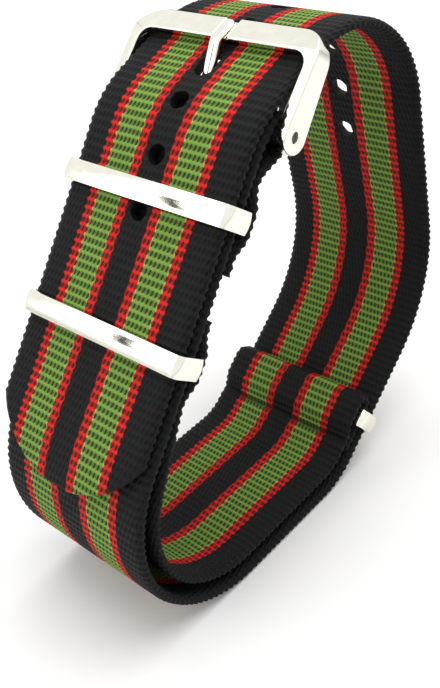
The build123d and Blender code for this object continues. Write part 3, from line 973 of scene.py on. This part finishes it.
# %% Sizes of the frame
EAR = 1.75
PIN_HOLE = 0.55
BAR_WIDE = 2.6
BAR_HIGH = 1.2
BAR_SEAT = 0.1
BAR_ALONG = 6.9
ARM_WIDE = 1.3
WINDOW_HALF = WIDTH / 2 + 0.2
FRAME_HALF = WINDOW_HALF + ARM_WIDE
FRAME_CORNER = 3.4
WINDOW_CORNER = 1.6
NOTCH_HALF = 0.92
NOTCH_DEPTH = 0.55
NOTCH_TOP = 4.0
FRAME_EDGE = 0.2
TAIL_SIDE = 0.15
tail_room = LIFT + THICK + BAR_SEAT
bar_centre = on_brow(BAR_ALONG, tail_room + BAR_HIGH / 2)
bar_way = toward(brow_angle - 90)
bar_out = toward(brow_angle)
arm_span = float(np.hypot(*(bar_centre - hinge)))
arm_way = (bar_centre - hinge) / arm_span
arm_out = np.array([-arm_way[1], arm_way[0]])
print("arm", round(arm_span, 2), "mm, bar centre", bar_centre.round(2))


# %% Blocks drawn in the side view and in plan
PAST = 6.0
BELOW_EAR = -4.0
PAST_SIDES = 20.0


def tight_skin(points):
    """The convex outline round some points, in order."""
    ordered = sorted(tuple(p) for p in points)
    skin = []
    for pass_points in (ordered, ordered[::-1]):
        start = len(skin)
        for p in pass_points:
            while len(skin) - start > 1:
                (ay, az), (by, bz) = skin[-2], skin[-1]
                if (by - ay) * (p[1] - az) - (bz - az) * (p[0] - ay) > 1e-9:
                    break
                skin.pop()
            skin.append(p)
        skin.pop()
    return skin


def block(name, first, second):
    """A closed block between two outlines of the same number of points."""
    made = bmesh.new()
    ends = [[made.verts.new(Vector(p) * MM) for p in outline] for outline in (first, second)]
    bridge(made, ends)
    for end in ends:
        made.faces.new(end)
    return show(name, finished_mesh(name, made))


def side_block(name, outline, half):
    """A block with its outline in the side view."""
    return block(name, [(-half, y, z) for y, z in outline], [(half, y, z) for y, z in outline])


def plan_block(name, half, reach, radius):
    """A block seen from above the arms, with two rounded corners at its far end."""
    outline = [(half, BELOW_EAR)]
    for sx, start in ((1, 0), (-1, 90)):
        for share in np.linspace(0, 90, 19):
            outline.append(np.array([sx * (half - radius), reach - radius]) + toward(start + share) * radius)
    outline.append((-half, BELOW_EAR))
    ends = []
    for level in (-PAST, PAST):
        spots = [hinge + arm_way * run + arm_out * level for _, run in outline]
        ends.append([(x, y, z) for (x, _), (y, z) in zip(outline, spots)])
    return block(name, *ends)


def circle(centre, radius, count):
    """Points round a circle in the side view."""
    return [np.array(centre) + toward(360 * i / count) * radius for i in range(count)]


def carve(obj, tool, operation="DIFFERENCE"):
    """Cut or trim an object with a tool, which is then thrown away."""
    apply_modifier(obj, "BOOLEAN", object=tool, operation=operation, solver="EXACT")
    bpy.data.objects.remove(tool)
    print(obj.name, "after", operation.lower() + ":", len(obj.data.polygons), "faces")


# %% Cut the frame from its block
bar_corners = [
    bar_centre + bar_way * side * BAR_WIDE / 2 + bar_out * rise * BAR_HIGH / 2
    for side in (-1, 1)
    for rise in (-1, 1)
]
side_view = tight_skin(circle(hinge, EAR, 72) + bar_corners)
tail_view = tight_skin(circle(*grown(CROWN, tail_room), 240) + circle(*grown(SHOULDER, tail_room), 240))
notch_floor = bar_centre + bar_out * (BAR_HIGH / 2 - NOTCH_DEPTH)
notch_sides = ((-PAST, 0), (PAST, 0), (PAST, NOTCH_TOP), (-PAST, NOTCH_TOP))
notch_view = [notch_floor + bar_way * along + bar_out * level for along, level in notch_sides]
frame_bar = side_block("buckle_frame_bar", side_view, FRAME_HALF)
carve(frame_bar, plan_block("plan", FRAME_HALF, arm_span + BAR_WIDE / 2, FRAME_CORNER), "INTERSECT")
carve(frame_bar, plan_block("window", WINDOW_HALF, arm_span - BAR_WIDE / 2, WINDOW_CORNER))
carve(frame_bar, side_block("tail_room", tail_view, WIDTH / 2 + TAIL_SIDE))
carve(frame_bar, side_block("notch", notch_view, NOTCH_HALF))
carve(frame_bar, side_block("pin_hole", circle(hinge, PIN_HOLE, 32), PAST_SIDES))

# %% Break its edges
face_outward(frame_bar, merge=0.02 * MM, flatten=0.5)
apply_modifier(
    frame_bar, "BEVEL", width=FRAME_EDGE * MM, segments=3, limit_method="ANGLE",
    angle_limit=math.radians(24), use_clamp_overlap=False,
)
smooth_below(frame_bar, 35)
apply_modifier(frame_bar, "WEIGHTED_NORMAL", keep_sharp=True, weight=80)
frame_bar.data.materials.append(polished)
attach(frame_bar, "frame")
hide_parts("buckle_frame")
print("frame:", len(frame_bar.data.polygons), "faces")

# %% [markdown]
# ## The tongue
# The tongue is a flat steel strip curled round the spring bar, led up through the
# fourth hole and bent down into the dip of the top bar. A rounded section follows
# that line, and narrows to a rounded tip. A curve with a bevel would keep one
# section all along, so the sections are set one by one.

# %% Line of the tongue
STRIP_WIDE = 0.68
STRIP_HIGH = 0.4
CURL_CLEAR = 0.08
CURL = 0.9 + CURL_CLEAR + STRIP_HIGH
CURL_TURN = 350
STEM_BEND = 1.2
TIP_SETBACK = 0.5
hole_spot, _ = long_route.spot(hole_places[TONGUE_HOLE - 1])
stem_way = (hole_spot - hinge) / np.hypot(*(hole_spot - hinge))
stem_angle = math.degrees(math.atan2(stem_way[1], stem_way[0]))
rest_spot = notch_floor + bar_out * (CURL_CLEAR + STRIP_HIGH)
stem_corners = [
    hinge + stem_way * CURL,
    corner(run_beside(hinge, 0, stem_angle + 90), run_beside(rest_spot, 0, brow_angle)),
    rest_spot + bar_way * (BAR_WIDE / 2 - TIP_SETBACK),
]
stem_line = Route(rounded_line(stem_corners, [STEM_BEND]))
curl_line = Route(arc_points(hinge, CURL, stem_angle - CURL_TURN, CURL_TURN))
print("stem", round(stem_line.length, 2), "mm, curl", round(curl_line.length, 2), "mm")


# %% A strip along a line
STRIP_EDGE = 0.3
NARROWS_OVER = 0.7


def strip(route, name, rows, tip):
    """A flat strip with rounded edges along a route, its end rounded if it has a tip."""
    made = bmesh.new()
    rings = []
    for along in rows:
        spot, normal = route.spot(along)
        left = route.length - along
        wide, high = STRIP_WIDE, STRIP_HIGH
        if tip and left < NARROWS_OVER:
            round_off = math.sqrt(max(0.0, 1 - (1 - left / NARROWS_OVER) ** 2))
            wide, high = wide * max(round_off, 0.08), high * (0.35 + 0.65 * round_off)
        outline = rounded_box_loop(2 * wide, 2 * high, min(STRIP_EDGE, high * 0.8, wide * 0.8), 5)
        spots = [(px, *(spot + normal * level)) for px, level in outline]
        rings.append([made.verts.new(Vector(p) * MM) for p in spots])
    bridge(made, rings)
    made.faces.new(rings[0])
    made.faces.new(rings[-1])
    return show(name, finished_mesh(name, made))


tip_turns = np.sin(np.linspace(0, math.pi / 2, 12)[1:])
stem_rows = np.linspace(0, stem_line.length - NARROWS_OVER, 60)
stem_rows = np.concatenate([stem_rows, stem_line.length - NARROWS_OVER * (1 - tip_turns)])
stem = strip(stem_line, "buckle_tongue_strip", np.minimum(stem_rows, stem_line.length - 0.001), True)
curl = strip(curl_line, "tongue_curl", np.linspace(0.01, curl_line.length - 0.01, 64), False)
tongue = join(stem, curl)
smooth_below(tongue, 40)
tongue.data.materials.append(polished)
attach(tongue, "tongue")
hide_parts("buckle_tongue")
print("tongue:", len(tongue.data.polygons), "faces")

# %% [markdown]
# ## The spring bar
# The bar's tube, its two tips and the spring inside keep their CAD shapes, which are
# plain turned parts, and only need their steels. The tips get a dark steel, which
# is painted shade for the inside of the ears' holes.

# %% Materials of the turned parts
finishes = {
    "spring_bar_tube": turned,
    "spring_bar_tip_left": darkened,
    "spring_bar_tip_right": darkened,
    "spring_bar_spring": wire,
}
for node, finish in finishes.items():
    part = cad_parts[node]
    part.data.materials.clear()
    part.data.materials.append(finish)
print("finished in place:", ", ".join(finishes))

# %% [markdown]
# ## Floor, light and camera
# The strap was photographed on white paper in a soft white light. The floor is a
# plain pale sheet, the world is a white room for the camera and for reflections,
# and softer for the light it gives. A dark card beside the camera is what the
# polished keepers show as small dark ovals.


# %% Floor
def plain_surface(name, colour, roughness):
    """A plain material for what isn't part of the object."""
    made, _, bsdf = material(name)
    bsdf.inputs["Base Color"].default_value = colour
    bsdf.inputs["Roughness"].default_value = roughness
    return made, bsdf


clear_selection()
bpy.ops.mesh.primitive_plane_add(size=2.4, location=(0, 0, -0.00002))
floor = bpy.context.object
floor.name = "floor"
paper, shader = plain_surface("white_paper", (0.93, 0.93, 0.93, 1), 0.9)
shader.inputs["Specular IOR Level"].default_value = 0.1
floor.data.materials.append(paper)
print("floor:", paper.name)

# %% World
ROOM_SEEN = 0.55
ROOM_LIGHT = 0.5
world = bpy.data.worlds.new("white_room")
bpy.context.scene.world = world
world.use_nodes = True
w = maths(world.node_tree)
rays = world.node_tree.nodes.new("ShaderNodeLightPath").outputs
seen = w("MINIMUM", w("ADD", rays["Is Camera Ray"], rays["Is Glossy Ray"]), 1.0)
seen = w("MINIMUM", w("ADD", seen, rays["Is Transmission Ray"]), 1.0)
room = world.node_tree.nodes["Background"].inputs
room["Color"].default_value = (1, 1, 1, 1)
feed(world.node_tree, room["Strength"], w("MULTIPLY_ADD", seen, ROOM_SEEN, ROOM_LIGHT))
print("the room lights with", ROOM_LIGHT, "and shows with", ROOM_LIGHT + ROOM_SEEN)


# %% Lamps
def softbox(name, place, target, size, power):
    """A square soft lamp that faces a point."""
    lamp = bpy.data.lights.new(name, "AREA")
    lamp.size = size
    lamp.energy = power
    holder = show(name, lamp)
    holder.location = place
    holder.rotation_euler = (Vector(target) - Vector(place)).to_track_quat("-Z", "Y").to_euler()
    print(name, power, "W")


centre = (0, 0, 0.03)
softbox("top_light", (0.05, 0.12, 0.55), centre, 0.6, 3.2)
softbox("front_light", (-0.25, -0.5, 0.4), centre, 0.7, 1.8)

# %% The dark card in the keepers' reflections
CARD_SIZE = (0.016, 0.07, 0.0)
CARD_PLACE = (-0.119, -0.144, 0.125)
CARD_TILT = ((1, 0, 0), (0, -0.59, 0.81), (0, -0.81, -0.59))
clear_selection()
bpy.ops.mesh.primitive_plane_add(size=1)
card = bpy.context.object
card.name = "dark_card"
card_points = points_of(card.data) * np.array(CARD_SIZE)
put_points(card.data, card_points @ np.array(CARD_TILT).T + np.array(CARD_PLACE))
felt, _ = plain_surface("dark_felt", (0.01, 0.01, 0.01, 1), 1.0)
card.data.materials.append(felt)
card.visible_camera = False
card.visible_diffuse = False
card.visible_shadow = False
print("card at", [round(v / MM) for v in CARD_PLACE], "mm")

# %% Camera
FOCUS = 895
PICTURE_HEIGHT = 688
SENSOR = 36
camera_data = bpy.data.cameras.new("camera")
camera_data.sensor_width = SENSOR
camera_data.lens = FOCUS / PICTURE_HEIGHT * SENSOR
camera_data.clip_start = 0.005
camera = show("camera", camera_data)
right = Vector((0.75039, 0.65286, -0.10340))
up = Vector((-0.31892, 0.49461, 0.80849))
turned_to = Matrix((right, up, right.cross(up))).transposed().to_4x4()
camera.matrix_world = Matrix.Translation((0.06275, -0.06412, 0.08694)) @ turned_to
bpy.context.scene.camera = camera
bpy.context.scene.view_settings.view_transform = "Standard"
print("camera", round(camera_data.lens, 1), "mm")
